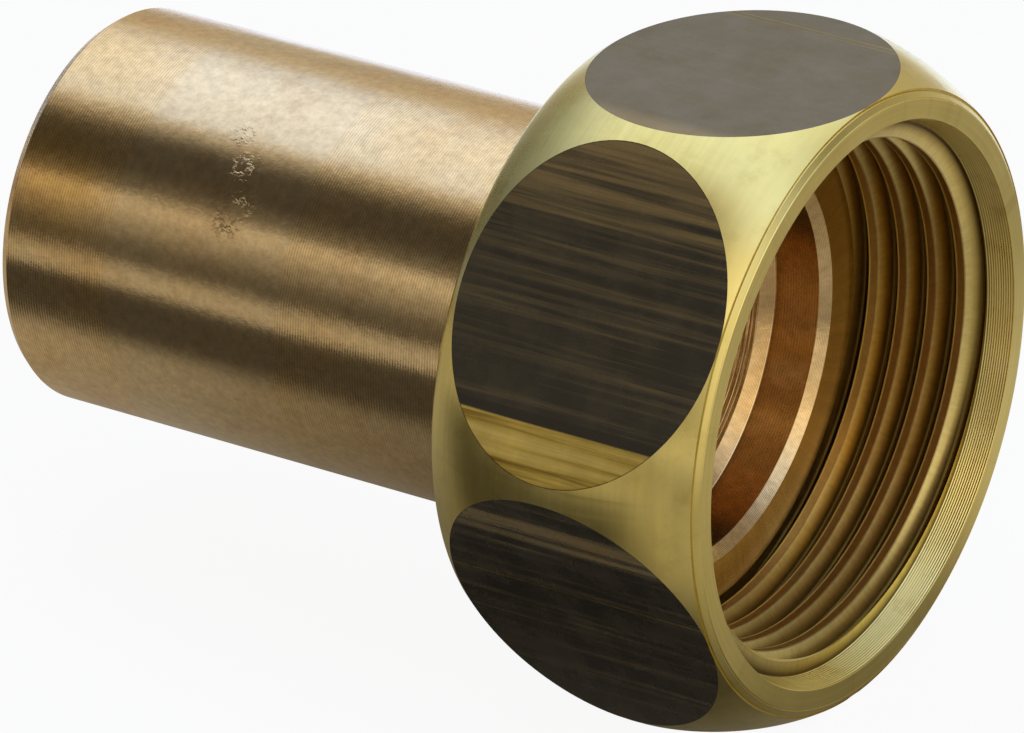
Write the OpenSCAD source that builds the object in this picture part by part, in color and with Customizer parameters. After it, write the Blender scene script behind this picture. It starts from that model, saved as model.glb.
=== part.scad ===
// Loose half of a pipe union: a turned plug-in tail with a captive hexagon union nut.
// It lies on one flat of the nut, with its axis along X and the nut's mouth towards +X.
// The origin is on the ground, below the middle of the overall length.

/* [Nut body] */
// Width of the nut across two opposite flats
across_flats = 43; // [41:0.5:46]
// Length of the nut along its axis
nut_length = 21; // [20:0.5:26]
// How far the turned crown takes the hexagon's corners down
corner_cut = 0.38; // [0.1:0.02:1]
// Radius of the arc that the crown is turned to, seen from the side
crown_radius = 18; // [16:0.5:24]
// Distance from the front face back to the widest place of the crown
crown_setback = 10.2; // [9:0.1:12]
// Rounding of the nut's back edge
back_edge_radius = 1.2; // [0.6:0.1:2]

/* [Nut mouth] */
// Depth of the turned step around the front face
rim_step_depth = 0.35; // [0.2:0.05:0.6]
// Height of the small shoulder where the crown ends at the step
rim_shoulder = 0.1; // [0.05:0.05:0.2]
// Width of the sloping land between the shoulder and the front face
rim_land_width = 0.5; // [0.3:0.05:0.6]
// How much wider than the thread's roots the plain lead-in bore is, all round
lead_in_over_thread = 0.55; // [0.2:0.05:0.8]
// How much narrower the lead-in bore is at its inner end
lead_in_taper = 0.9; // [0:0.1:1]
// Depth of the plain lead-in bore
lead_in_depth = 1.85; // [1:0.05:3]

/* [Nut thread] */
// Wall of the nut between the middle of a flat and the thread's roots
nut_wall = 2.55; // [2:0.05:3.2]
// Depth of the internal thread, from its roots to its crests
thread_depth = 1.25; // [1:0.05:1.5]
// Length of the thread from the lead-in bore to the relief
thread_length = 8.9; // [7:0.1:9.5]
// How much wider than the thread's roots the relief behind it is, all round
relief_over_thread = 0.5; // [0.2:0.1:0.8]
// Bevel between the relief and the thread bore
relief_bevel = 0.4; // [0.2:0.1:0.8]
// Small bevel on both edges of the hole in the back lip
lip_bevel = 0.3; // [0.1:0.05:0.5]

/* [Tail] */
// Outside diameter of the plug-in tail, which is the pipe size it replaces
tail_diameter = 28; // [26:0.5:30]
// Wall of the tail behind the narrow throat
tail_wall = 1.1; // [1:0.05:1.6]
// Length of the tail from the collar's face to its free end
tail_length = 49.5; // [40:0.5:70]
// Bevel on the outer edge of the tail's free end
tail_end_bevel = 0.4; // [0.2:0.1:0.8]
// How much the tail is turned down all round where the nut turns on it
neck_relief = 0.2; // [0.2:0.05:0.4]

/* [Collar] */
// Thickness of the collar that the nut pulls on
collar_thickness = 5; // [3.5:0.1:5.6]
// Distance from the nut's front face back to the collar's face
collar_setback = 11.4; // [10:0.1:11.6]
// How much narrower than the tail's bore the throat behind the shoulder is, all round
throat_step = 0.3; // [0.2:0.05:0.6]
// Length of the throat
throat_length = 3; // [2:0.1:5]
// Step between the throat and the wider bore in the collar
collar_bore_step = 1.1; // [0.6:0.1:1.4]
// Depth of the wider bore, from the collar's face to the sloping shoulder
collar_bore_depth = 4.05; // [2.5:0.05:4.2]
// Angle of the sloping shoulder, from square across the bore
shoulder_angle = 30; // [10:1:45]
// Width of the bevel around the mouth of the collar's bore
mouth_bevel_width = 0.75; // [0.3:0.05:1.2]
// Depth of the bevel around the mouth of the collar's bore
mouth_bevel_depth = 0.6; // [0.2:0.05:1.2]
// Small bevel on the outer edges of the collar
collar_edge_bevel = 0.2; // [0.1:0.05:0.5]

/* [Fits] */
// Clearance all round between the tail and the hole in the nut's lip
lip_clearance = 0.1; // [0.05:0.01:0.1]
// Clearance all round between the collar and the thread's crests
collar_clearance = 0.2; // [0.1:0.05:0.5]
// Gap between the back of the collar and the nut's lip at rest
seat_clearance = 0.1; // [0.05:0.05:0.4]
// How far the turned-down neck shows behind the nut
neck_showing = 0.3; // [0.1:0.1:0.6]

/* [Hidden] */
$fn = 128;

// Cuts reach this far past the surface that they open
past = 1;

// Nut, seen as a half section: first value is the radius, second is the place on the axis.
// The front face is at zero and the back face is at minus the nut's length.
hex_sides = 6;
corner_radius = across_flats / 2 / cos(180 / hex_sides);
crown_top = corner_radius - corner_cut;
crown_centre = [crown_top - crown_radius, -crown_setback];
back_face = -nut_length;
rim_start = -rim_step_depth;
crown_end = crown_radius_at(rim_start);
rim_land_outer = crown_end - rim_shoulder;
face_outer = rim_land_outer - rim_land_width;

// The back edge is rounded by an arc that touches the crown and the back face
edge_centre_place = back_face + back_edge_radius;
edge_centre_radius = crown_centre[0]
    + sqrt(pow(crown_radius - back_edge_radius, 2) - pow(edge_centre_place - crown_centre[1], 2));
edge_centre = [edge_centre_radius, edge_centre_place];
edge_touch = crown_centre
    + (edge_centre - crown_centre) * crown_radius / (crown_radius - back_edge_radius);
edge_outward = (edge_touch - edge_centre) / back_edge_radius;

thread_root_radius = across_flats / 2 - nut_wall;
thread_bore_radius = thread_root_radius - thread_depth;
lead_in_radius = thread_root_radius + lead_in_over_thread;
lead_in_end_radius = lead_in_radius - lead_in_taper / 2;
thread_end = -lead_in_depth - thread_length;
relief_radius = thread_root_radius + relief_over_thread;

// Collar and tail, on the same axis and from the same front face
collar_face = -collar_setback;
collar_back = collar_face - collar_thickness;
collar_radius = thread_bore_radius - collar_clearance;
lip_face = collar_back - seat_clearance;
tail_radius = tail_diameter / 2;
tail_end = collar_face - tail_length;
neck_radius = tail_radius - neck_relief;
neck_end = back_face - neck_showing;
bore_radius = tail_radius - tail_wall;
throat_radius = bore_radius - throat_step;
collar_bore_radius = throat_radius + collar_bore_step;
mouth_radius = collar_bore_radius + mouth_bevel_width;
shoulder_start = collar_face - collar_bore_depth;
shoulder_end = shoulder_start - collar_bore_step * tan(shoulder_angle);
throat_end = shoulder_end - throat_length;
lip_hole_radius = tail_radius + lip_clearance;

// Radius of the crown's arc at a place on the axis
function crown_radius_at(place) =
    crown_centre[0] + sqrt(pow(crown_radius, 2) - pow(place - crown_centre[1], 2));

// Lays a piece that was made around Z on the ground, with its front towards +X
module lie_down() {
    translate([-tail_end / 2, 0, across_flats / 2])
        rotate([0, 90, 0])
            children();
}

// Half section of the outside: the crown's arc, closed at the back face and the front step
module crown_section() {
    intersection() {
        translate(crown_centre) circle(crown_radius);
        translate([0, back_face]) square([crown_top, rim_start - back_face]);
    }
}

// What the rounding takes off the back edge
module back_edge_section() {
    reach = back_edge_radius + past;
    difference() {
        polygon([
            edge_centre,
            edge_centre + [0, -reach],
            edge_centre + [reach, -reach],
            edge_centre + edge_outward * reach
        ]);
        translate(edge_centre) circle(back_edge_radius);
    }
}

// Half section of the front rim: a shoulder, a sloping land and the flat face
module rim_section() {
    polygon([
        [0, rim_start - past],
        [rim_land_outer, rim_start - past],
        [rim_land_outer, rim_start],
        [face_outer, 0],
        [0, 0]
    ]);
}

// Half section of everything that is bored out of the nut
module nut_bore_section() {
    polygon([
        [0, past],
        [lead_in_radius, past],
        [lead_in_radius, 0],
        [lead_in_end_radius, -lead_in_depth],
        [thread_bore_radius, -lead_in_depth],
        [thread_bore_radius, thread_end],
        [relief_radius, thread_end - relief_bevel],
        [relief_radius, lip_face],
        [lip_hole_radius + lip_bevel, lip_face],
        [lip_hole_radius, lip_face - lip_bevel],
        [lip_hole_radius, back_face + lip_bevel],
        [lip_hole_radius + lip_bevel, back_face],
        [lip_hole_radius + lip_bevel, back_face - past],
        [0, back_face - past]
    ]);
}

// The nut is hexagon bar, turned to a crown that leaves six rounded flats
module union_nut() {
    color([0.72, 0.65, 0.32])
        lie_down()
            difference() {
                intersection() {
                    rotate_extrude() {
                        difference() {
                            crown_section();
                            back_edge_section();
                        }
                        rim_section();
                    }
                    translate([0, 0, back_face - past])
                        linear_extrude(nut_length + 2 * past)
                            rotate(180 / hex_sides)
                                circle(corner_radius, $fn = hex_sides);
                }
                rotate_extrude() nut_bore_section();
            }
}

// The tail and its collar are one turned piece with a bore right through
module plug_in_tail() {
    color([0.74, 0.62, 0.44])
        lie_down()
            rotate_extrude()
                polygon([
                    [mouth_radius, collar_face],
                    [collar_radius - collar_edge_bevel, collar_face],
                    [collar_radius, collar_face - collar_edge_bevel],
                    [collar_radius, collar_back + collar_edge_bevel],
                    [collar_radius - collar_edge_bevel, collar_back],
                    [neck_radius, collar_back],
                    [neck_radius, neck_end],
                    [tail_radius, neck_end - neck_relief],
                    [tail_radius, tail_end + tail_end_bevel],
                    [tail_radius - tail_end_bevel, tail_end],
                    [bore_radius, tail_end],
                    [bore_radius, throat_end - throat_step],
                    [throat_radius, throat_end],
                    [throat_radius, shoulder_end],
                    [collar_bore_radius, shoulder_start],
                    [collar_bore_radius, collar_face - mouth_bevel_depth]
                ]);
}

plug_in_tail();
union_nut();
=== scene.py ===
"""Looks for the press fitting union: detailed nut and tail, camera, floor and light.

Lengths are in metres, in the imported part's own frame: the axis runs along X, the nut's
mouth faces +X and the part lies on one flat of the nut, on the floor at zero height.
A "place" is a distance along the axis from the nut's front face, negative inside.
A "turn" is an angle round the axis from straight up, positive towards the camera.
"""

import math

import bmesh
import bpy
import numpy as np
from mathutils import Matrix, Vector


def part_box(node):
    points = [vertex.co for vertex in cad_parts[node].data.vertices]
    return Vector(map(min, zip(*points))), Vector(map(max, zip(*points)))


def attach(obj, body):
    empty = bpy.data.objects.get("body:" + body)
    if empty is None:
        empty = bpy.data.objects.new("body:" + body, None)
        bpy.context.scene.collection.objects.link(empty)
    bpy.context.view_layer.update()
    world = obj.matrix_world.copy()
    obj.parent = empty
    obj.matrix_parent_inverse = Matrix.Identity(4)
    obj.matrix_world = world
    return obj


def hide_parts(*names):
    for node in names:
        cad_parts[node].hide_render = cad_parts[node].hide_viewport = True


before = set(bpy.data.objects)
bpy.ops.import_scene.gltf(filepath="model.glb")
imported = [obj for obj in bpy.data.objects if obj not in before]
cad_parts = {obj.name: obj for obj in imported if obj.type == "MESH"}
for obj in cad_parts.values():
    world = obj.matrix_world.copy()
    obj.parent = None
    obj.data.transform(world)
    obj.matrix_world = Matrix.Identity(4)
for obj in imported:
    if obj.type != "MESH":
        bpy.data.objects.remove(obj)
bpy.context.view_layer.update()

MM = 0.001
nut_low, nut_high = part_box("union_nut")
tail_low, tail_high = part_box("plug_in_tail")
AXIS_Z = (nut_low[2] + nut_high[2]) / 2
MOUTH_X = nut_high[0]

# Nut: sizes as in the solid
APOTHEM = (nut_high[2] - nut_low[2]) / 2
BACK = nut_low[0] - nut_high[0]
CORNER_CUT = 0.38 * MM
CROWN_RADIUS = 18 * MM
CROWN_SETBACK = 10.2 * MM
BACK_EDGE_RADIUS = 1.2 * MM
RIM_STEP = 0.35 * MM
RIM_SHOULDER = 0.1 * MM
RIM_LAND = 0.5 * MM
NUT_WALL = 2.55 * MM
THREAD_DEPTH = 1.25 * MM
LEAD_IN_OVER = 0.55 * MM
LEAD_IN_TAPER = 0.45 * MM
LEAD_IN_DEPTH = 1.85 * MM
THREAD_LENGTH = 8.9 * MM
# The thread runs on past the collar's face, where the solid has its relief already
THREAD_RUN_ON = 1.2 * MM
RELIEF_OVER = 0.5 * MM
RELIEF_BEVEL = 0.4 * MM
LIP_BEVEL = 0.3 * MM
LIP_CLEARANCE = 0.1 * MM

# Tail and collar: sizes as in the solid
TAIL_END = tail_low[0] - nut_high[0]
TAIL_RADIUS = 14 * MM
TAIL_WALL = 1.1 * MM
TAIL_END_BEVEL = 0.4 * MM
TAIL_END_BEVEL_LENGTH = 0.6 * MM
NECK_RELIEF = 0.2 * MM
NECK_SHOWING = 0.3 * MM
COLLAR_FACE = tail_high[0] - nut_high[0]
COLLAR_THICKNESS = 5 * MM
COLLAR_RADIUS = (tail_high[2] - tail_low[2]) / 2
COLLAR_EDGE = 0.2 * MM
SEAT_CLEARANCE = 0.1 * MM
THROAT_STEP = 0.3 * MM
THROAT_LENGTH = 3 * MM
COLLAR_BORE_STEP = 1.1 * MM
COLLAR_BORE_DEPTH = 4.05 * MM
SHOULDER_ANGLE = math.radians(30)
MOUTH_BEVEL_WIDTH = 0.75 * MM
MOUTH_BEVEL_DEPTH = 0.6 * MM

# Pipe thread of 11 turns to the inch, right-hand, with flanks at 55 degrees to each other
PITCH = 25.4 * MM / 11
FLANK = math.radians(55 / 2)
ROOT_ROUNDING = 0.137329 * PITCH
# Place of a crest's front edge on the far side of the mouth, where the turn is CREST_TURN
CREST_PLACE = -2.93 * MM
CREST_TURN = math.radians(-91.6)

# Width of the bright strip along the inner edge of each crest
CREST_EDGE_WIDTH = 0.12 * MM

# Edges that turn by more than this stay crisp
SHARP_FROM = math.radians(25)
# Rows this far beside a rounded corner keep the faces next to it flat
SUPPORT = 0.008 * MM

# Furrows left by the turning tool
LEAD_IN_FURROW = 0.168 * MM
LEAD_IN_FURROW_DEPTH = 0.026 * MM
THROAT_FURROW = 0.32 * MM
THROAT_FURROW_DEPTH = 0.06 * MM
TAIL_FEED = 0.212 * MM
# Marks on the tail's outside, as (place, turn), the nicks also with their reach
GOLDEN_STAIN = (-57.8 * MM, math.radians(61))
NICKS = [
    ((-44.7 * MM, math.radians(34)), 1.2 * MM),
    ((-43.5 * MM, math.radians(44)), 1.6 * MM),
    ((-42.6 * MM, math.radians(54)), 1.4 * MM),
    ((-43.2 * MM, math.radians(60)), 1.6 * MM),
]
# The flat towards the camera, and where the scale on it ends and bare brass starts
MIDDLE_FLAT = math.radians(60)
BARE_FROM = 7.9 * MM
# Depths of the tool marks on both sides of the rim's sloping land
RIM_GROOVE = 0.12 * MM
FACE_GROOVE = 0.07 * MM
# Between these places on the tail the turning lines are rubbed away
POLISHED_START = -51.5 * MM
POLISHED_END = -37.5 * MM

# Values that follow from the sizes
CROWN_TOP = APOTHEM / math.cos(math.pi / 6) - CORNER_CUT
CROWN_CENTRE = CROWN_TOP - CROWN_RADIUS
CROWN_FRONT = math.asin((CROWN_SETBACK - RIM_STEP) / CROWN_RADIUS)
ROOT_RADIUS = APOTHEM - NUT_WALL
CREST_RADIUS = ROOT_RADIUS - THREAD_DEPTH
THREAD_END = -LEAD_IN_DEPTH - THREAD_LENGTH - THREAD_RUN_ON
LIP_FACE = COLLAR_FACE - COLLAR_THICKNESS - SEAT_CLEARANCE
HOLE_RADIUS = TAIL_RADIUS + LIP_CLEARANCE

CROWN, SCALE, MOUTH, THREAD, LEAD_IN, CREST_EDGE = range(6)


def around(place, radius, turn):
    """Points round the axis, from arrays of places, radii and turns."""
    place, radius, turn = np.broadcast_arrays(place, radius, turn)
    return np.stack(
        [MOUTH_X + place, -radius * np.sin(turn), AXIS_Z + radius * np.cos(turn)], axis=-1
    )


def ring_mesh(name, points, finish, seam_rows=None):
    """A closed skin over rows of rings. Points that coincide become one, and faces that
    shrink to nothing go. finish is the material number of each quad. seam_rows says which
    row each row meets where the rings close."""
    rows, columns = points.shape[:2]
    index = np.arange(rows * columns).reshape(rows, columns)
    beside = np.roll(index, -1, axis=1)
    if seam_rows is not None:
        beside[:, -1] = index[seam_rows, 0]
    quads = np.stack([index[:-1], beside[:-1], beside[1:], index[1:]], axis=-1).reshape(-1, 4)
    keys = np.round(points.reshape(-1, 3) * 1e8).astype(np.int64)
    _, first, weld = np.unique(keys, axis=0, return_index=True, return_inverse=True)
    corners = points.reshape(-1, 3)[first]
    faces = []
    slots = []
    for quad, slot in zip(weld.reshape(-1)[quads].tolist(), finish.reshape(-1).tolist()):
        face = [v for n, v in enumerate(quad) if v != quad[n - 1]]
        if len(set(face)) == len(face) > 2:
            faces.append(face)
            slots.append(slot)
    mesh = bpy.data.meshes.new(name)
    mesh.from_pydata(corners.tolist(), [], faces)
    mesh.polygons.foreach_set("material_index", slots)
    skin = bmesh.new()
    skin.from_mesh(mesh)
    loose = [v for v in skin.verts if not v.link_faces]
    bmesh.ops.delete(skin, geom=loose)
    bmesh.ops.recalc_face_normals(skin, faces=skin.faces)
    skin.to_mesh(mesh)
    skin.free()
    mesh.shade_smooth()
    mesh.set_sharp_from_angle(angle=SHARP_FROM)
    piece = bpy.data.objects.new(name, mesh)
    bpy.context.scene.collection.objects.link(piece)
    return piece


def rounded(corners, roundings, steps=4):
    """A line through (radius, place) corners, each rounded by its own radius, 0 for sharp."""
    line = []
    last = len(corners) - 1
    for n, (corner, rounding) in enumerate(zip(corners, roundings)):
        corner = np.array(corner)
        if rounding == 0 or n in (0, last):
            line.append(corner)
            continue
        back = np.array(corners[n - 1]) - corner
        ahead = np.array(corners[n + 1]) - corner
        back = back / np.linalg.norm(back)
        ahead = ahead / np.linalg.norm(ahead)
        half = math.acos(max(-1, min(1, float(back @ ahead)))) / 2
        middle = (back + ahead) / np.linalg.norm(back + ahead)
        centre = corner + middle * rounding / math.sin(half)
        start = corner + back * rounding / math.tan(half) - centre
        end = corner + ahead * rounding / math.tan(half) - centre
        sweep = math.pi - 2 * half
        line.append(centre + start + back * SUPPORT)
        for step in range(steps + 1):
            share = step / steps
            line.append(
                centre
                + (math.sin((1 - share) * sweep) * start + math.sin(share * sweep) * end)
                / math.sin(sweep)
            )
        line.append(centre + end + ahead * SUPPORT)
    return line


def furrowed(start, end, pitch, depth, steps=4):
    """A straight cut from start to end with the shallow furrows of a turning tool."""
    start, end = np.array(start), np.array(end)
    count = max(1, round(float(np.linalg.norm(end - start)) / pitch))
    along = (end - start) / np.linalg.norm(end - start)
    into_metal = np.array([-along[1], along[0]])
    if into_metal[0] < 0:
        into_metal = -into_metal
    line = []
    for step in range(count * steps + 1):
        wave = 2 * ((step % steps) / steps) - 1
        line.append(start + (end - start) * step / (count * steps) + into_metal * depth * (1 - wave**2))
    return line


def flat_turns(count=30, samples=600):
    """Turns from a flat's middle to its side, evenly spaced along the flat's round outline."""
    arc = np.linspace(math.acos((APOTHEM - CROWN_CENTRE) / CROWN_RADIUS), 0, samples)
    turn = np.arccos(np.clip(APOTHEM / (CROWN_CENTRE + CROWN_RADIUS * np.cos(arc)), -1, 1))
    turn[0] = 0
    steps = np.hypot(np.diff(APOTHEM * np.tan(turn)), np.diff(CROWN_RADIUS * np.sin(arc)))
    length = np.concatenate([[0], np.cumsum(steps)])
    return np.interp(np.linspace(0, length[-1], count + 1), length, turn)


def nut_turns():
    """The nut's columns: dense where the flats' outlines need it, and one on each corner."""
    side = flat_turns()
    half = np.concatenate([side, np.linspace(side[-1], math.pi / 6, 3)[1:]])
    one_flat = np.concatenate([-half[:0:-1], half[:-1]])
    turns = np.concatenate([one_flat + n * math.pi / 3 for n in range(-3, 3)])
    return turns, np.tile(one_flat, 6)


def back_edge_radius():
    """Radius at which the arc that rounds the nut's back edge has its centre."""
    reach = CROWN_RADIUS - BACK_EDGE_RADIUS
    return CROWN_CENTRE + math.sqrt(reach**2 - (BACK + BACK_EDGE_RADIUS + CROWN_SETBACK) ** 2)


def nut_outside(off_middle):
    """Places and radii of the nut's outside, from the back face to the front step, and the
    finish of each row. off_middle is each column's turn from the middle of its flat."""
    flat_radius = APOTHEM / np.cos(off_middle)
    flat_arc = np.arccos(np.clip((flat_radius - CROWN_CENTRE) / CROWN_RADIUS, -1, 1))
    edge_place = BACK + BACK_EDGE_RADIUS
    edge_radius = back_edge_radius()
    touch = math.asin((edge_place + CROWN_SETBACK) / (CROWN_RADIUS - BACK_EDGE_RADIUS))
    rows = []
    for angle in np.linspace(-math.pi / 2, touch, 9):
        place = edge_place + BACK_EDGE_RADIUS * math.sin(angle)
        rows.append((place, edge_radius + BACK_EDGE_RADIUS * math.cos(angle), CROWN))
    for share in np.linspace(0, 1, 13)[1:]:
        arc = touch + share * (-flat_arc - touch)
        radius = CROWN_CENTRE + CROWN_RADIUS * np.cos(arc)
        rows.append((-CROWN_SETBACK + CROWN_RADIUS * np.sin(arc), radius, CROWN))
    front_arc = np.minimum(flat_arc, CROWN_FRONT)
    low = -CROWN_SETBACK - CROWN_RADIUS * np.sin(flat_arc)
    high = -CROWN_SETBACK + CROWN_RADIUS * np.sin(front_arc)
    top = np.minimum(flat_radius, CROWN_TOP)
    for share in np.linspace(0, 1, 7)[1:]:
        rows.append((low + share * (high - low), top, SCALE))
    for share in np.linspace(0, 1, 13)[1:]:
        arc = front_arc + share * (CROWN_FRONT - front_arc)
        radius = np.minimum(CROWN_CENTRE + CROWN_RADIUS * np.cos(arc), flat_radius)
        rows.append((-CROWN_SETBACK + CROWN_RADIUS * np.sin(arc), radius, CROWN))
    return rows


def nut_rim():
    """The front step, land and face, then the furrowed lead-in bore."""
    crown_end = CROWN_CENTRE + CROWN_RADIUS * math.cos(CROWN_FRONT)
    land = crown_end - RIM_SHOULDER
    face = land - RIM_LAND
    lead_in = ROOT_RADIUS + LEAD_IN_OVER
    nick = 0.05 * MM
    line = rounded(
        [
            (crown_end, -RIM_STEP),
            (crown_end - 0.04 * MM, -RIM_STEP - RIM_GROOVE),
            (land - 0.05 * MM, -RIM_STEP - RIM_GROOVE),
            (land - 0.1 * MM, -RIM_STEP + 0.05 * MM),
            (face + 0.06 * MM, -0.04 * MM),
            (face, -FACE_GROOVE),
            (face - 0.06 * MM, 0),
            (lead_in + nick, 0),
            (lead_in, -nick),
        ],
        [0, 0, 0, 0.08 * MM, 0.03 * MM, 0, 0.03 * MM, 0.04 * MM, 0],
    )
    rows = [(place, radius, MOUTH) for radius, place in line]
    lead_in_end = (lead_in - LEAD_IN_TAPER, -LEAD_IN_DEPTH)
    line = furrowed((lead_in, -nick), lead_in_end, LEAD_IN_FURROW, LEAD_IN_FURROW_DEPTH)
    return rows + [(place, radius, LEAD_IN) for radius, place in line]


def thread_radius(place, phase):
    """Radius of the threaded bore. phase is the distance along the axis from a groove's middle."""
    off = np.abs((phase + PITCH / 2) % PITCH - PITCH / 2)
    tip = ROOT_RADIUS + ROOT_ROUNDING * (1 / math.sin(FLANK) - 1)
    flank = tip - off / math.tan(FLANK)
    rounding = ROOT_RADIUS - ROOT_ROUNDING + np.sqrt(np.maximum(ROOT_ROUNDING**2 - off**2, 0))
    groove = np.where(off < ROOT_ROUNDING * math.cos(FLANK), rounding, flank)
    countersink = CREST_RADIUS + np.maximum(0, place + LEAD_IN_DEPTH + 0.3 * MM)
    return np.maximum(np.maximum(groove, countersink), CREST_RADIUS)


def nut_thread(turns):
    """Rows that follow the thread's helix, cut off at the lead-in bore and at the relief."""
    tip = ROOT_RADIUS + ROOT_ROUNDING * (1 / math.sin(FLANK) - 1)
    land_start = (tip - CREST_RADIUS) * math.tan(FLANK)
    root_end = ROOT_ROUNDING * math.cos(FLANK)
    flank = [root_end + share * (land_start - root_end) for share in (0, 0.3, 0.7, 0.95, 1)]
    side = [root_end / 3, root_end * 2 / 3] + flank + [land_start + CREST_EDGE_WIDTH]
    steps = [-v for v in side] + [0] + side + [PITCH / 2]
    finishes = [CREST_EDGE if step == land_start else THREAD for step in steps]
    middle = CREST_PLACE + land_start + PITCH * (turns - CREST_TURN) / (2 * math.pi)
    first = math.ceil((middle.max() - middle.min() + PITCH) / PITCH)
    last = -math.ceil((middle.max() - THREAD_END + PITCH) / PITCH) - 1
    offsets = [
        (turn * PITCH + step, finish)
        for turn in range(first, last, -1)
        for step, finish in zip(steps, finishes)
    ]
    rows = []
    for offset, finish in sorted(offsets, reverse=True):
        place = np.clip(middle + offset, THREAD_END, -LEAD_IN_DEPTH)
        rows.append((place, thread_radius(place, place - middle), finish))
    return rows, len(steps)


def nut_inside():
    """From the end of the thread through the relief, the lip and its hole to the back face."""
    relief = ROOT_RADIUS + RELIEF_OVER
    line = rounded(
        [
            (relief, THREAD_END - RELIEF_BEVEL),
            (relief, LIP_FACE),
            (HOLE_RADIUS + LIP_BEVEL, LIP_FACE),
            (HOLE_RADIUS, LIP_FACE - LIP_BEVEL),
            (HOLE_RADIUS, BACK + LIP_BEVEL),
            (HOLE_RADIUS + LIP_BEVEL, BACK),
            (back_edge_radius(), BACK),
        ],
        [0, 0.3 * MM, 0.05 * MM, 0.05 * MM, 0.05 * MM, 0.05 * MM, 0],
    )
    return [(place, radius, MOUTH) for radius, place in line]


def build_nut():
    """The union nut, with its real thread cut into it."""
    turns, off_middle = nut_turns()
    thread, rows_per_turn = nut_thread(turns)
    before = nut_outside(off_middle) + nut_rim()
    rows = before + thread + nut_inside()
    points = np.stack([around(place, radius, turns) for place, radius, _ in rows])
    finish = np.array([[slot] * len(turns) for _, _, slot in rows[1:]])
    thread_rows = np.arange(len(before), len(before) + len(thread))
    seam = np.arange(len(rows))
    seam[thread_rows] = np.maximum(thread_rows - rows_per_turn, thread_rows[0])
    return ring_mesh("union_nut_detail", points, finish, seam)


def tail_line():
    """Half section of the tail and its collar, as a closed line of (radius, place)."""
    bore = TAIL_RADIUS - TAIL_WALL
    throat = bore - THROAT_STEP
    collar_bore = throat + COLLAR_BORE_STEP
    collar_back = COLLAR_FACE - COLLAR_THICKNESS
    shoulder = COLLAR_FACE - COLLAR_BORE_DEPTH
    shoulder_end = shoulder - COLLAR_BORE_STEP * math.tan(SHOULDER_ANGLE)
    throat_end = shoulder_end - THROAT_LENGTH
    neck = TAIL_RADIUS - NECK_RELIEF
    neck_end = BACK - NECK_SHOWING
    outside = rounded(
        [
            (collar_bore, COLLAR_FACE - MOUTH_BEVEL_DEPTH),
            (collar_bore + MOUTH_BEVEL_WIDTH, COLLAR_FACE),
            (COLLAR_RADIUS - COLLAR_EDGE, COLLAR_FACE),
            (COLLAR_RADIUS, COLLAR_FACE - COLLAR_EDGE),
            (COLLAR_RADIUS, collar_back + COLLAR_EDGE),
            (COLLAR_RADIUS - COLLAR_EDGE, collar_back),
            (neck, collar_back),
            (neck, neck_end),
            (TAIL_RADIUS, neck_end - NECK_RELIEF),
            (TAIL_RADIUS, TAIL_END + TAIL_END_BEVEL_LENGTH),
            (TAIL_RADIUS - TAIL_END_BEVEL, TAIL_END),
            (bore, TAIL_END),
            (bore, throat_end - THROAT_STEP),
            (throat, throat_end),
        ],
        [v * MM for v in (0, 0.04, 0.05, 0.05, 0.05, 0.05, 0.1, 0.05, 0.05, 0.12, 0.08, 0.06, 0.05, 0)],
    )
    inside = furrowed((throat, throat_end), (throat, shoulder_end), THROAT_FURROW, THROAT_FURROW_DEPTH)
    mouth = rounded(
        [
            (throat, shoulder_end),
            (collar_bore, shoulder),
            (collar_bore, COLLAR_FACE - MOUTH_BEVEL_DEPTH),
        ],
        [0, 0.15 * MM, 0],
    )
    return outside + inside[1:] + mouth[1:]


def build_tail(columns=256):
    """The plug-in tail with its collar, turned in one piece."""
    line = tail_line()
    turns = np.linspace(-math.pi, math.pi, columns, endpoint=False)
    points = np.stack([around(place, radius, turns) for radius, place in line])
    finish = np.zeros((len(line) - 1, columns), dtype=int)
    return ring_mesh("plug_in_tail_detail", points, finish)


class Shader:
    """Adds nodes to one node tree, with sockets or plain values as their inputs."""

    def __init__(self, tree):
        self.tree = tree
        tree.nodes.clear()

    def add(self, kind, inputs=(), **settings):
        made = self.tree.nodes.new(kind)
        for key, value in settings.items():
            setattr(made, key, value)
        for key, value in dict(inputs).items():
            if isinstance(value, bpy.types.NodeSocket):
                self.tree.links.new(value, made.inputs[key])
            else:
                made.inputs[key].default_value = value
        return made

    def math(self, operation, *values):
        return self.add("ShaderNodeMath", enumerate(values), operation=operation).outputs[0]

    def ramp(self, share, stops):
        made = self.add("ShaderNodeValToRGB", {0: share})
        elements = made.color_ramp.elements
        while len(elements) < len(stops):
            elements.new(0.5)
        for element, (position, shade) in zip(elements, stops):
            element.position = position
            element.color = (*shade, 1)
        return made.outputs[0]

    def between(self, value, low, high, smooth=True):
        """0 at low and 1 at high."""
        made = self.add(
            "ShaderNodeMapRange",
            {"Value": value, "From Min": low, "From Max": high},
            interpolation_type="SMOOTHSTEP" if smooth else "LINEAR",
        )
        return made.outputs["Result"]

    def vector(self, x, y, z):
        return self.add("ShaderNodeCombineXYZ", {0: x, 1: y, 2: z}).outputs[0]

    def noise(self, vector, scale, detail, roughness):
        made = self.add(
            "ShaderNodeTexNoise",
            {"Vector": vector, "Scale": scale, "Detail": detail, "Roughness": roughness},
        )
        return made.outputs[0]

    def mix(self, share, a, b, blend="MIX"):
        made = self.add("ShaderNodeMix", {0: share, 6: a, 7: b}, data_type="RGBA", blend_type=blend)
        return made.outputs[2]

    def bump(self, height, distance, normal=None):
        inputs = {"Height": height, "Distance": distance}
        if normal is not None:
            inputs["Normal"] = normal
        return self.add("ShaderNodeBump", inputs).outputs[0]


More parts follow.
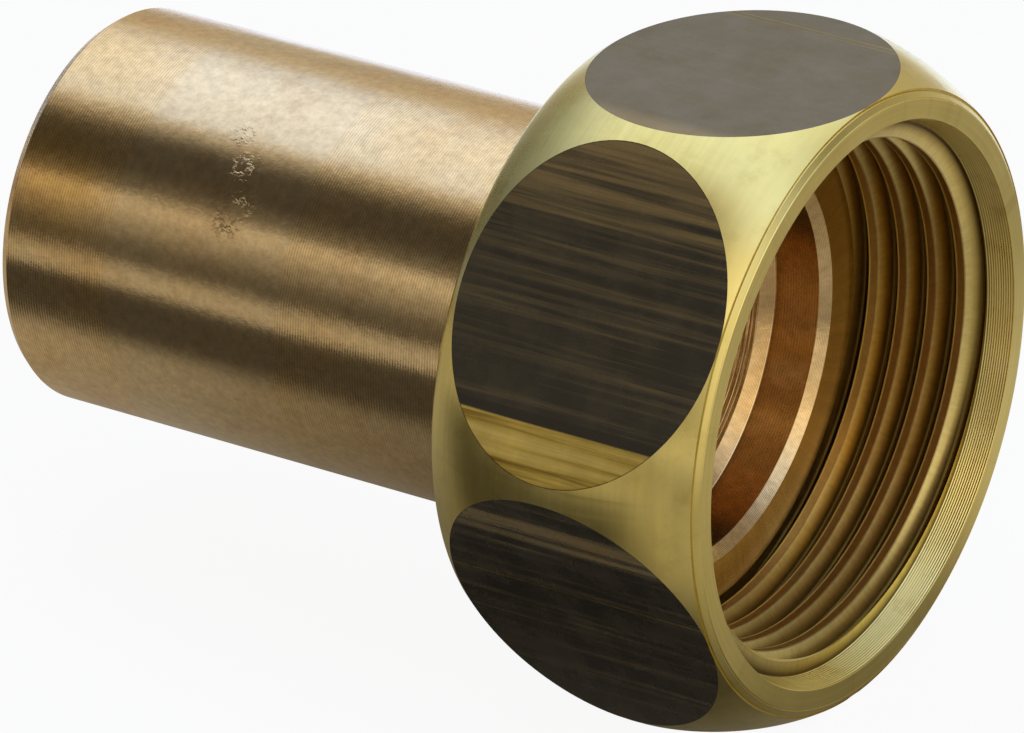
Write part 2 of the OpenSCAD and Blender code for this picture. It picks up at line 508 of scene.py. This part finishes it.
def inside(shader, value, low, high, edge):
    """1 between low and high and 0 beyond them, with soft edges."""
    rise = shader.between(value, low - edge / 2, low + edge / 2)
    fall = shader.between(value, high + edge / 2, high - edge / 2)
    return shader.math("MULTIPLY", rise, fall)


def axis_coordinates(shader):
    """Place along the axis from the nut's front face, radius, and the direction from the
    axis: its share towards the back of the scene and its share upwards."""
    spot = shader.add("ShaderNodeTexCoord").outputs["Object"]
    split = shader.add("ShaderNodeSeparateXYZ", {0: spot}).outputs
    place = shader.math("SUBTRACT", split[0], MOUTH_X)
    up = shader.math("SUBTRACT", split[2], AXIS_Z)
    squares = shader.math("MULTIPLY_ADD", split[1], split[1], shader.math("MULTIPLY", up, up))
    radius = shader.math("SQRT", squares)
    side = shader.math("DIVIDE", split[1], radius)
    rise = shader.math("DIVIDE", up, radius)
    return place, radius, side, rise


def along_axis(shader):
    """Direction of the axis, which highlights on turned metal stretch along."""
    made = shader.add(
        "ShaderNodeVectorTransform",
        {0: (1.0, 0.0, 0.0)},
        vector_type="VECTOR",
        convert_from="OBJECT",
        convert_to="WORLD",
    )
    return made.outputs[0]


def new_material(name):
    material = bpy.data.materials.new(name)
    material.use_nodes = True
    return material, Shader(material.node_tree)


def finish_surface(shader, **inputs):
    named = {key.replace("_", " "): value for key, value in inputs.items()}
    surface = shader.add("ShaderNodeBsdfPrincipled", named)
    shader.add("ShaderNodeOutputMaterial", {"Surface": surface.outputs[0]})


def round_spot(shader, place, side, rise, reach):
    """A point for noise that is stretched or squeezed round the axis by reach, in metres."""
    return shader.vector(place, shader.math("MULTIPLY", side, reach), shader.math("MULTIPLY", rise, reach))


def near(shader, place, turn, centre, reach):
    """1 at a centre on the tail's outside, given as (place, turn), and 0 beyond reach."""
    along = shader.math("MULTIPLY_ADD", place, 1 / reach, -centre[0] / reach)
    arc = shader.math("MULTIPLY_ADD", turn, TAIL_RADIUS / reach, -centre[1] * TAIL_RADIUS / reach)
    squares = shader.math("MULTIPLY_ADD", along, along, shader.math("MULTIPLY", arc, arc))
    return shader.between(shader.math("SQRT", squares), 1.0, 0.2)


def gunmetal():
    """Turned gunmetal for the tail and its collar, rubbed smooth along part of the tail."""
    material, shader = new_material("turned_gunmetal")
    place, radius, side, rise = axis_coordinates(shader)
    turn = shader.math("ARCTAN2", shader.math("MULTIPLY", side, -1.0), rise)
    spot = round_spot(shader, place, side, rise, TAIL_RADIUS)
    patches = shader.noise(spot, 90.0, 4.0, 0.6)
    grain = shader.noise(spot, 1500.0, 4.0, 0.7)
    wander = shader.math("MULTIPLY_ADD", patches, 1.2 * MM, place)
    lined = shader.math("SUBTRACT", 1.0, inside(shader, wander, POLISHED_START, POLISHED_END, 0.5 * MM))
    feed = shader.math("MULTIPLY_ADD", radius, 1.5, place)
    feed = shader.math("MULTIPLY_ADD", feed, 2 * math.pi / TAIL_FEED, turn)
    feed = shader.math("MULTIPLY_ADD", grain, 2.5, feed)
    lines = shader.math("MULTIPLY", shader.math("SINE", feed), lined)
    warm = shader.math("MULTIPLY_ADD", lined, 0.2, patches)
    colour = shader.ramp(
        warm, [(0.3, (0.82, 0.64, 0.39)), (0.6, (0.84, 0.62, 0.34)), (0.9, (0.84, 0.57, 0.26))]
    )
    golden = near(shader, place, turn, GOLDEN_STAIN, 6 * MM)
    colour = shader.mix(shader.math("MULTIPLY", golden, patches), colour, (0.86, 0.5, 0.12, 1.0))
    stain = shader.between(shader.noise(spot, 140.0, 5.0, 0.7), 0.5, 0.72)
    colour = shader.mix(shader.math("MULTIPLY", stain, 0.5), colour, (0.66, 0.40, 0.19, 1.0))
    shade = shader.math("MULTIPLY_ADD", grain, 0.8, 0.58)
    shade = shader.math("MULTIPLY_ADD", lines, 0.12, shade)
    colour = shader.mix(1.0, colour, shade, "MULTIPLY")
    roughness = shader.math("MULTIPLY_ADD", patches, 0.14, 0.14)
    dents = [near(shader, place, turn, centre, reach) for centre, reach in NICKS]
    dent = shader.math("MAXIMUM", shader.math("MAXIMUM", *dents[:2]), shader.math("MAXIMUM", *dents[2:]))
    rough_spot = shader.noise(spot, 2200.0, 3.0, 0.6)
    height = shader.math("MULTIPLY", dent, shader.between(rough_spot, 0.5, 0.62))
    normal = shader.bump(height, 0.018 * MM)
    fine = shader.math("MULTIPLY_ADD", lines, 0.7, shader.math("MULTIPLY", grain, 2.4))
    normal = shader.bump(fine, 0.004 * MM, normal)
    finish_surface(
        shader, Base_Color=colour, Metallic=1.0, Roughness=roughness, Normal=normal, Anisotropic=0.8,
        Tangent=along_axis(shader),
    )
    return material


def brass(name, colours, roughness_base, lines_depth, anisotropic):
    """Turned brass for the nut, mottled from the first colour to the second."""
    material, shader = new_material(name)
    place, radius, side, rise = axis_coordinates(shader)
    cut = shader.math("MULTIPLY_ADD", radius, 1.3, place)
    patches = shader.noise(round_spot(shader, place, side, rise, APOTHEM), 120.0, 4.0, 0.6)
    lines = shader.noise(round_spot(shader, cut, side, rise, 0.8 * MM), 3000.0, 3.0, 0.6)
    colour = shader.ramp(patches, [(0.3, colours[0]), (0.7, colours[1])])
    stain = shader.noise(round_spot(shader, place, side, rise, APOTHEM), 330.0, 5.0, 0.7)
    stain = shader.math("MULTIPLY", shader.between(stain, 0.5, 0.75), 0.45)
    colour = shader.mix(stain, colour, (0.58, 0.44, 0.12, 1.0))
    shade = shader.math("MULTIPLY_ADD", lines, 0.3, 0.85)
    colour = shader.mix(1.0, colour, shade, "MULTIPLY")
    roughness = shader.math("MULTIPLY_ADD", patches, 0.15, roughness_base)
    finish_surface(
        shader, Base_Color=colour, Metallic=1.0, Roughness=roughness, Normal=shader.bump(lines, lines_depth),
        Anisotropic=anisotropic, Tangent=along_axis(shader),
    )
    return material


def on_flat(shader, radius, side, rise, turn):
    """Where a point is across the flat at this turn, and 1 on that flat and 0 elsewhere."""
    up = shader.math("MULTIPLY_ADD", side, -math.sin(turn), shader.math("MULTIPLY", rise, math.cos(turn)))
    low = shader.math("MULTIPLY", rise, -math.sin(turn))
    across = shader.math("MULTIPLY_ADD", side, -math.cos(turn), low)
    level = shader.math("MULTIPLY", up, radius)
    mask = shader.between(level, APOTHEM - 0.1 * MM, APOTHEM - 0.05 * MM)
    return shader.math("MULTIPLY", across, radius), mask


def thread_brass_painted_shading():
    """Brass of the thread with painted light and shade: lands painted brown as a shaded reflection, flanks painted
    bright at the crests as a highlight and dark at the roots as shade.
    """
    material, shader = new_material("thread_brass_painted_shading")
    place, radius, side, rise = axis_coordinates(shader)
    patches = shader.noise(round_spot(shader, place, side, rise, APOTHEM), 160.0, 4.0, 0.6)
    grain = shader.noise(round_spot(shader, place, side, rise, APOTHEM), 2500.0, 3.0, 0.6)
    # Colour by depth in the thread is painted shade and highlight: brown on the lands, bright just below the crests,
    # dark in the roots
    depth = shader.between(radius, CREST_RADIUS, ROOT_RADIUS, smooth=False)
    depth = shader.math("MULTIPLY_ADD", patches, 0.12, shader.math("SUBTRACT", depth, 0.06))
    colour = shader.ramp(
        depth,
        [
            (0.04, (0.46, 0.32, 0.13)), (0.1, (0.90, 0.75, 0.32)), (0.4, (0.84, 0.67, 0.25)),
            (0.7, (0.52, 0.39, 0.12)), (0.95, (0.15, 0.095, 0.025)),
        ],
    )
    shade = shader.math("MULTIPLY_ADD", grain, 0.4, 0.8)
    colour = shader.mix(1.0, colour, shade, "MULTIPLY")
    roughness = shader.math("MULTIPLY_ADD", patches, 0.15, 0.27)
    finish_surface(
        shader, Base_Color=colour, Metallic=1.0, Roughness=roughness, Normal=shader.bump(grain, 0.003 * MM)
    )
    return material


def bar_scale_with_painted_shading():
    """Dark scale left on the flats by the hot-drawn bar, worn to brass in a few places, with the top flat's scale
    painted lighter as light from above and a painted dark line of shade along each flat's edge.
    """
    material, shader = new_material("bar_scale_with_painted_shading")
    place, radius, side, rise = axis_coordinates(shader)
    streak = round_spot(shader, shader.math("MULTIPLY", place, 0.02), side, rise, APOTHEM)
    streaks = shader.noise(streak, 2000.0, 5.0, 0.65)
    broad = shader.noise(streak, 450.0, 3.0, 0.5)
    patches = shader.noise(round_spot(shader, place, side, rise, APOTHEM), 300.0, 5.0, 0.65)
    middle, on_middle = on_flat(shader, radius, side, rise, MIDDLE_FLAT)
    top, on_top = on_flat(shader, radius, side, rise, 0.0)
    lower, on_lower = on_flat(shader, radius, side, rise, 2 * MIDDLE_FLAT)

    ragged = shader.math("MULTIPLY_ADD", streaks, 0.3 * MM, middle)
    bare = shader.math("MULTIPLY", on_middle, shader.between(ragged, BARE_FROM, BARE_FROM + 0.15 * MM))
    band = shader.math("MULTIPLY", on_middle, shader.between(middle, -3 * MM, -9 * MM))
    low_band = shader.math("MULTIPLY", on_lower, inside(shader, lower, -9.4 * MM, -6.6 * MM, 1.2 * MM))
    band = shader.math("MAXIMUM", band, shader.math("MULTIPLY", low_band, 0.7))
    worn = shader.math("MULTIPLY_ADD", band, 0.17, shader.math("MULTIPLY_ADD", broad, 0.4, streaks))
    worn = shader.between(worn, 0.66, 1.04)
    calm = shader.math("MULTIPLY_ADD", on_top, -0.35, shader.math("MULTIPLY_ADD", band, 0.4, 0.5))
    worn = shader.math("MULTIPLY", worn, calm)
    brown_edge = shader.math("MULTIPLY", on_top, shader.between(top, 9 * MM, 11.2 * MM))
    worn = shader.math("MAXIMUM", worn, brown_edge)

    scratch = inside(shader, top, -9.1 * MM, -8.9 * MM, 0.1 * MM)
    scratch = shader.math("MAXIMUM", scratch, inside(shader, top, -8.6 * MM, -8.45 * MM, 0.1 * MM))
    scratch = shader.math("MULTIPLY", shader.math("MULTIPLY", scratch, on_top), 0.45)
    low_line = inside(shader, lower, -2.05 * MM, -1.95 * MM, 0.06 * MM)
    scratch = shader.math("MAXIMUM", scratch, shader.math("MULTIPLY", low_line, on_lower))
    shown = shader.math("MAXIMUM", bare, shader.math("MULTIPLY", scratch, shader.between(broad, 0.35, 0.55)))

    # The top flat's scale is painted lighter than the other flats, as light falling from above
    base = shader.mix(on_top, (0.012, 0.010, 0.006, 1.0), (0.07, 0.055, 0.026, 1.0))
    blotch = shader.between(patches, 0.4, 0.62)
    base = shader.mix(shader.math("MULTIPLY", blotch, 0.6), base, (0.035, 0.024, 0.010, 1.0))
    dark = shader.mix(worn, base, (0.26, 0.17, 0.058, 1.0))
    line = shader.math("MULTIPLY", on_middle, inside(shader, ragged, 7.2 * MM, BARE_FROM, 0.2 * MM))
    dark = shader.mix(shader.math("MULTIPLY", line, 0.8), dark, (0.002, 0.002, 0.001, 1.0))
    gold = shader.ramp(
        streaks, [(0.35, (0.24, 0.15, 0.03)), (0.5, (0.66, 0.48, 0.12)), (0.7, (0.86, 0.66, 0.22))]
    )
    colour = shader.mix(shown, dark, gold)

    # A thin dark line is painted along each flat's edge against the crown, as shade at the sharp edge
    off_widest = shader.math("ADD", place, CROWN_SETBACK)
    arc = shader.math("SUBTRACT", CROWN_RADIUS**2, shader.math("MULTIPLY", off_widest, off_widest))
    inset = shader.math("SUBTRACT", shader.math("ADD", shader.math("SQRT", arc), CROWN_CENTRE), radius)
    painted_edge_shade = shader.between(inset, 0.0, 0.05 * MM)
    colour = shader.mix(painted_edge_shade, (0.01, 0.008, 0.005, 1.0), colour)

    roughness = shader.math("MULTIPLY_ADD", patches, 0.3, 0.12)
    spread = shader.math("MULTIPLY_ADD", on_middle, -1.8, 2.2)
    uneven = shader.math("MULTIPLY", shader.math("SUBTRACT", patches, 0.5), spread)
    lustre = shader.math("ADD", shader.math("MULTIPLY_ADD", on_middle, -0.85, 2.5), uneven)
    finish_surface(
        shader, Base_Color=colour, Metallic=shown, IOR=lustre, Specular_Tint=(1.0, 0.93, 0.8, 1.0),
        Roughness=roughness, Normal=shader.bump(shader.math("ADD", streaks, patches), 0.006 * MM),
    )
    return material


# Tints of the light: daylight from the soft box above, and warmer from the room
COOL = (1.0, 1.14, 1.45)
WARM = (1.0, 0.91, 0.74)
# Light from over the part, as (angle in degrees, brightness, tint): 0 is level from
# behind, 90 straight down from above and 180 level from the camera's side
STUDIO_MIDDLE = [
    (-180, 0.09, WARM), (-5, 0.55, WARM), (15, 0.48, WARM), (32, 0.6, WARM), (42, 0.8, COOL), (54, 1.02, COOL),
    (72, 1.04, COOL), (84, 0.96, COOL), (94, 0.92, COOL), (101, 0.56, WARM), (109, 0.15, WARM), (114, 0.06, WARM),
    (133, 0.06, WARM), (144, 0.18, WARM), (149, 0.62, WARM), (155, 0.55, WARM), (160, 0.36, WARM), (167, 0.25, WARM),
    (173, 0.13, WARM), (180, 0.09, WARM),
]
# The same from beyond the nut's mouth
STUDIO_RIGHT = [
    (-180, 0.45, WARM), (0, 0.25, WARM), (30, 0.2, WARM), (50, 0.3, WARM), (68, 0.6, COOL), (85, 1.0, COOL),
    (100, 1.1, COOL), (115, 1.2, WARM), (135, 1.4, WARM), (148, 0.7, WARM), (160, 0.5, WARM), (180, 0.45, WARM),
]


def tinted(level, tint):
    return tuple(level * share for share in tint)


def light_the_world():
    """A plain soft studio: white to the camera, a soft box above and one beyond the mouth."""
    world = bpy.data.worlds.new("studio")
    bpy.context.scene.world = world
    world.use_nodes = True
    shader = Shader(world.node_tree)
    direction = shader.add("ShaderNodeTexCoord").outputs["Generated"]
    split = shader.add("ShaderNodeSeparateXYZ", {0: direction}).outputs
    angle = shader.math("ARCTAN2", split[2], split[1])
    share = shader.between(angle, -math.pi, math.pi, smooth=False)
    bands = [
        shader.ramp(share, [((angle + 180) / 360, tinted(level / 2, tint)) for angle, level, tint in studio])
        for studio in (STUDIO_MIDDLE, STUDIO_RIGHT)
    ]
    light = shader.mix(shader.between(split[0], 0.2, 0.6), *bands)
    light = shader.mix(shader.between(split[0], 0.86, 0.98), light, (*tinted(0.475, WARM), 1.0))
    left = shader.between(split[0], -0.6, -0.95)
    light = shader.mix(shader.math("MULTIPLY", left, 0.8), light, (0.0, 0.0, 0.0, 1.0))
    seen = shader.add("ShaderNodeLightPath").outputs["Is Camera Ray"]
    light = shader.add("ShaderNodeBackground", {"Color": light, "Strength": 2.0})
    white = shader.add("ShaderNodeBackground", {"Color": (1, 1, 1, 1), "Strength": 1.0})
    both = shader.add("ShaderNodeMixShader", {0: seen, 1: light.outputs[0], 2: white.outputs[0]})
    shader.add("ShaderNodeOutputWorld", {"Surface": both.outputs[0]})


# Painted light and shade on the floor, seen only in reflections: what the metal sees of the floor, as (distance
# behind the axis in metres, brightness, tint)
FLOOR_BANDS = [
    (-0.8, 0.08, WARM), (-0.4, 0.13, WARM), (-0.2, 0.32, WARM), (-0.12, 0.48, WARM), (-0.03, 0.45, WARM),
    (0.03, 0.45, WARM), (0.08, 0.8, COOL), (0.15, 1.2, COOL), (0.4, 1.0, COOL), (0.8, 0.6, WARM),
]


# The same in front of the nut's mouth, all of it warm
FLOOR_RIGHT = [
    (-0.8, 0.15), (-0.2, 0.35), (-0.12, 0.45), (0.0, 0.43), (0.015, 0.47), (0.035, 0.6), (0.06, 0.55),
    (0.075, 0.2), (0.1, 0.15), (0.8, 0.3),
]


def build_floor():
    """A pale floor that keeps the part's shadow, plain to the camera, while reflections see painted bands of light
    and painted shadows on it.
    """
    mesh = bpy.data.meshes.new("floor")
    reach = 3.0
    corners = [(-reach, -reach, 0), (reach, -reach, 0), (reach, reach, 0), (-reach, reach, 0)]
    mesh.from_pydata(corners, [], [(0, 1, 2, 3)])
    floor = bpy.data.objects.new("floor", mesh)
    bpy.context.scene.collection.objects.link(floor)
    material, shader = new_material("floor")
    path = shader.add("ShaderNodeLightPath").outputs
    place = shader.add("ShaderNodeTexCoord").outputs["Object"]
    split = shader.add("ShaderNodeSeparateXYZ", {0: place}).outputs
    first, last = FLOOR_BANDS[0][0], FLOOR_BANDS[-1][0]
    share = shader.between(split[1], first, last, smooth=False)
    bands = shader.ramp(
        share, [((y - first) / (last - first), tinted(level / 2, tint)) for y, level, tint in FLOOR_BANDS]
    )
    # Painted shadow of the part on the floor in front of it, seen only in reflections
    shadow = shader.math(
        "MULTIPLY", inside(shader, split[0], -0.095, 0.033, 0.02), inside(shader, split[1], -0.078, -0.026, 0.012)
    )
    # Painted shade on the floor under the part, seen only in reflections
    painted_shade_under_part = shader.math(
        "MULTIPLY", shader.between(split[0], -0.06, 0.0), inside(shader, split[1], -0.03, 0.025, 0.02)
    )
    bands = shader.mix(shader.math("MULTIPLY", shadow, 0.86), bands, (0.0, 0.0, 0.0, 1.0))
    bands = shader.mix(shader.math("MULTIPLY", painted_shade_under_part, 0.62), bands, (0.0, 0.0, 0.0, 1.0))
    # Painted light on the floor beyond the mouth, darker and lighter strips to the right, seen only in reflections
    right = shader.ramp(
        share, [((y - first) / (last - first), tinted(level / 2, WARM)) for y, level in FLOOR_RIGHT]
    )
    bands = shader.mix(shader.between(split[0], 0.03, 0.06), bands, right)
    bands = shader.mix(shader.between(split[0], 0.055, 0.07), bands, (*tinted(0.15, WARM), 1.0))
    bands = shader.mix(shader.between(split[0], 0.085, 0.14), bands, (*tinted(0.4, WARM), 1.0))
    # Painted contact shadow on the floor beside the nut's lowest flat, seen only in reflections
    painted_contact_shadow = shader.math(
        "MULTIPLY", inside(shader, split[0], 0.0, 0.034, 0.01), inside(shader, split[1], -0.028, -0.012, 0.014)
    )
    bands = shader.mix(shader.math("MULTIPLY", painted_contact_shadow, 0.8), bands, (0.0, 0.0, 0.0, 1.0))
    matt = shader.add("ShaderNodeBsdfDiffuse", {"Color": (0.85, 0.85, 0.85, 1)})
    white = shader.add("ShaderNodeEmission", {"Color": (1, 1, 1, 1), "Strength": 1.0})
    seen = shader.add("ShaderNodeEmission", {"Color": bands, "Strength": 2.0})
    camera = shader.math("MULTIPLY", path["Is Camera Ray"], 0.93)
    pale = shader.add("ShaderNodeMixShader", {0: camera, 1: matt.outputs[0], 2: white.outputs[0]})
    both = shader.add("ShaderNodeMixShader", {0: path["Is Glossy Ray"], 1: pale.outputs[0], 2: seen.outputs[0]})
    shader.add("ShaderNodeOutputMaterial", {"Surface": both.outputs[0]})
    mesh.materials.append(material)


def add_camera():
    """The photograph's camera, fitted to the part's edges."""
    place = Vector((0.307383, -0.474688, 0.268188))
    aim = Vector((0.00513, -0.004193, 0.019486))
    roll = math.radians(0.759)
    data = bpy.data.cameras.new("camera")
    data.sensor_width = 36
    data.lens = 318.757
    camera = bpy.data.objects.new("camera", data)
    bpy.context.scene.collection.objects.link(camera)
    turned = (aim - place).to_track_quat("-Z", "Y").to_matrix().to_4x4()
    camera.matrix_world = Matrix.Translation(place) @ turned @ Matrix.Rotation(roll, 4, "Z")
    bpy.context.scene.camera = camera


def main():
    bpy.context.scene.view_settings.view_transform = "Standard"
    nut = build_nut()
    for finish in (
        brass("crown_brass", ((0.80, 0.64, 0.20), (0.90, 0.76, 0.30)), 0.2, 0.003 * MM, 0.5),
        bar_scale_with_painted_shading(),
        brass("mouth_brass", ((0.84, 0.68, 0.22), (0.88, 0.73, 0.27)), 0.25, 0.002 * MM, 0.0),
        thread_brass_painted_shading(),
        # The lead-in bore's brass is painted paler and brighter than the rest of the nut, as light falling into the
        # mouth
        brass("lead_in_brass_painted_light", ((0.92, 0.77, 0.29), (0.97, 0.85, 0.38)), 0.22, 0.002 * MM, 0.0),
        brass("crest_edge_brass", ((0.86, 0.66, 0.22), (0.92, 0.74, 0.28)), 0.5, 0.002 * MM, 0.0),
    ):
        nut.data.materials.append(finish)
    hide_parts("union_nut")
    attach(nut, "nut")
    tail = build_tail()
    tail.data.materials.append(gunmetal())
    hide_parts("plug_in_tail")
    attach(tail, "tail")
    light_the_world()
    build_floor()
    add_camera()


main()
